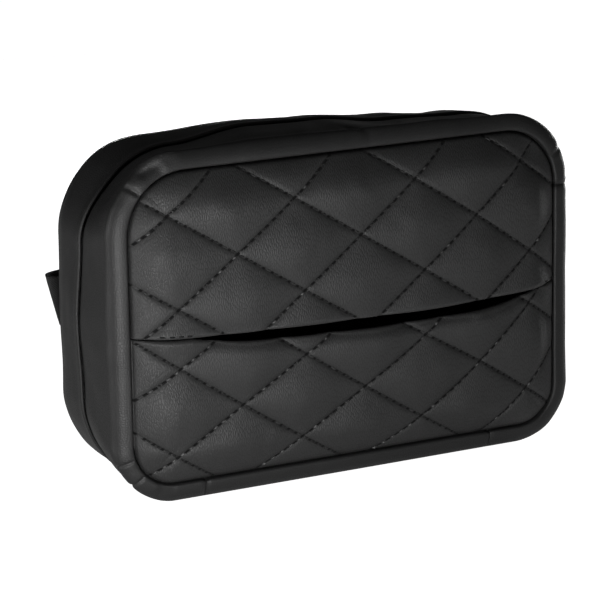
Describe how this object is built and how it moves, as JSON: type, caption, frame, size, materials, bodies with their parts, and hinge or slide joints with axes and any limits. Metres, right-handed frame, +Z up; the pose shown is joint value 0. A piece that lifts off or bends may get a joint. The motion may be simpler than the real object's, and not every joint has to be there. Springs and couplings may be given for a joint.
{
  "type": "car tissue holder",
  "caption": "Soft quilted box for a pack of facial tissues, with a slot across its front, a zip round its edge and a strap behind.",
  "frame": {"origin": "middle of the flat underside of the bottom gusset", "axes": "+X to the right seen from the front, +Y to the back, +Z up"},
  "size_m": [0.2441, 0.0965, 0.1636],
  "materials": {
    "leather": "satin",
    "lining": "matte",
    "board": "matte",
    "tape": "matte",
    "nylon": "satin",
    "zinc": "satin",
    "plastic": "satin",
    "webbing": "matte"
  },
  "bodies": {
    "pouch": {"front_upper_panel": "leather", "front_lower_panel": "leather", "front_upper_lining": "lining", "front_lower_lining": "lining", "gusset_left_top": "leather", "gusset_right": "leather", "bottom_gusset": "leather", "front_gusset_lining": "lining", "bottom_lining": "lining", "front_seam_binding": "tape", "zip_tape_front": "tape", "zip_coil_front": "nylon", "zip_stop_left": "zinc", "zip_stop_right": "zinc"},
    "cover": {"gusset_rear": "leather", "rear_gusset_lining": "lining", "back_seam_binding": "tape", "back_panel": "leather", "back_lining": "lining", "back_board": "board", "zip_tape_rear": "tape", "zip_coil_rear": "nylon", "strap_left": "webbing", "strap_right": "webbing", "buckle_female": "plastic", "buckle_male": "plastic"},
    "slider": {"zip_slider": "zinc"},
    "pull": {"zip_pull": "zinc"},
    "prong_upper": {"buckle_prong_upper": "plastic"},
    "prong_lower": {"buckle_prong_lower": "plastic"},
    "keeper": {"strap_keeper": "webbing"}
  },
  "joints": [
    {"name": "cover_hinge", "type": "hinge", "parent": "pouch", "child": "cover", "pos_m": [0, 0.033, 0], "axis": [-1, 0, 0], "range_deg": [0, 65]},
    {"name": "slider_travel", "type": "slide", "parent": "pouch", "child": "slider", "axis": [0, 0, 1], "range_m": [0, 0.055]},
    {"name": "pull_swing", "type": "hinge", "parent": "slider", "child": "pull", "pos_m": [0.1209, 0.002, 0.0518], "axis": [0, -1, 0], "range_deg": [0, 170]},
    {"name": "prong_upper_press", "type": "hinge", "parent": "cover", "child": "prong_upper", "pos_m": [0.0152, 0.04808, 0.09075], "axis": [0, -1, 0], "range_deg": [0, 8], "stiffness_Nm_per_rad": 0.05},
    {"name": "prong_lower_press", "type": "hinge", "parent": "cover", "child": "prong_lower", "pos_m": [0.0152, 0.04808, 0.07225], "axis": [0, 1, 0], "range_deg": [0, 8], "stiffness_Nm_per_rad": 0.05},
    {"name": "keeper_slide", "type": "slide", "parent": "cover", "child": "keeper", "axis": [1, 0, 0], "range_m": [-0.004, 0.012]}
  ],
  "couplings": [
    {"joint": "prong_lower_press", "follows": "prong_upper_press", "ratio": 1}
  ]
}
